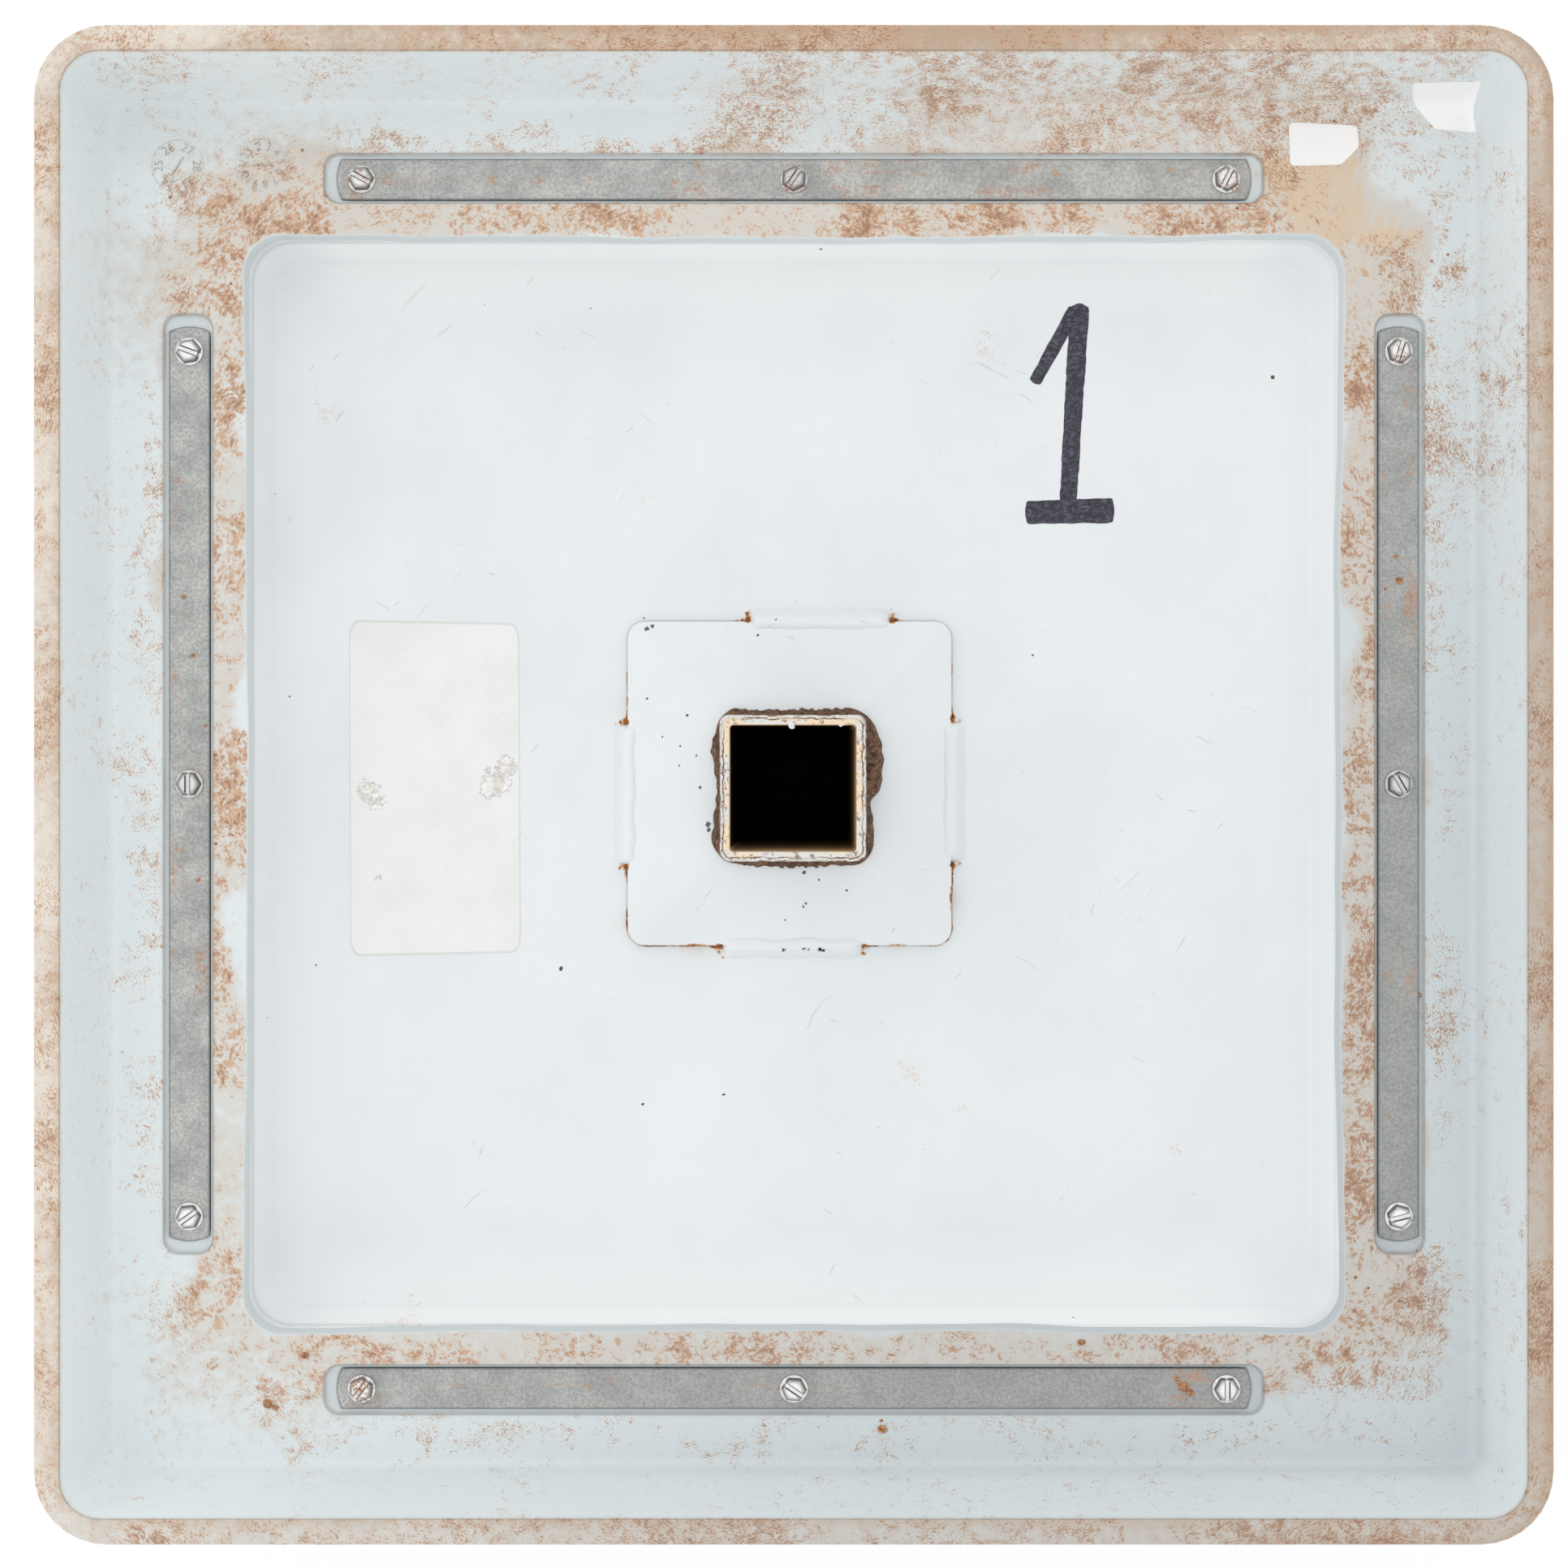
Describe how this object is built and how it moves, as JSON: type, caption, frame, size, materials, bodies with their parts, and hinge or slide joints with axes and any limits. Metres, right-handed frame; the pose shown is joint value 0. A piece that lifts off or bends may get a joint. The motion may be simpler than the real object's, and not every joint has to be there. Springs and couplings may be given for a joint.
{
  "type": "baseball base",
  "caption": "Square white rubber base with a steel pan clamped into its underside by flat bars, and a square steel stanchion that drops into a ground anchor.",
  "frame": {"origin": "centre of the playing face, which the base lies on with its underside up", "axes": "+Z out of the underside along the stanchion, which points down in play; +X and +Y along the sides, right and up in the picture"},
  "size_m": [0.457, 0.457, 0.1905],
  "materials": {
    "white_rubber": "matte moulded, used",
    "white_enamel": "satin paint",
    "worn_tube": "worn paint over steel",
    "dull_zinc": "dull zinc plate",
    "bright_zinc": "bright zinc plate"
  },
  "bodies": {
    "root": {"rubber_cover": "white_rubber", "steel_pan": "white_enamel", "gusset_plate": "white_enamel", "stanchion": "worn_tube", "stanchion_weld": "worn_tube", "edge_weld_right": "white_enamel", "edge_weld_top": "white_enamel", "edge_weld_left": "white_enamel", "edge_weld_bottom": "white_enamel", "clamp_bar_right": "dull_zinc", "clamp_bar_top": "dull_zinc", "clamp_bar_left": "dull_zinc", "clamp_bar_bottom": "dull_zinc", "screw_right_1": "bright_zinc", "screw_right_2": "bright_zinc", "screw_right_3": "bright_zinc", "screw_top_1": "bright_zinc", "screw_top_2": "bright_zinc", "screw_top_3": "bright_zinc", "screw_left_1": "bright_zinc", "screw_left_2": "bright_zinc", "screw_left_3": "bright_zinc", "screw_bottom_1": "bright_zinc", "screw_bottom_2": "bright_zinc", "screw_bottom_3": "bright_zinc"}
  },
  "joints": []
}
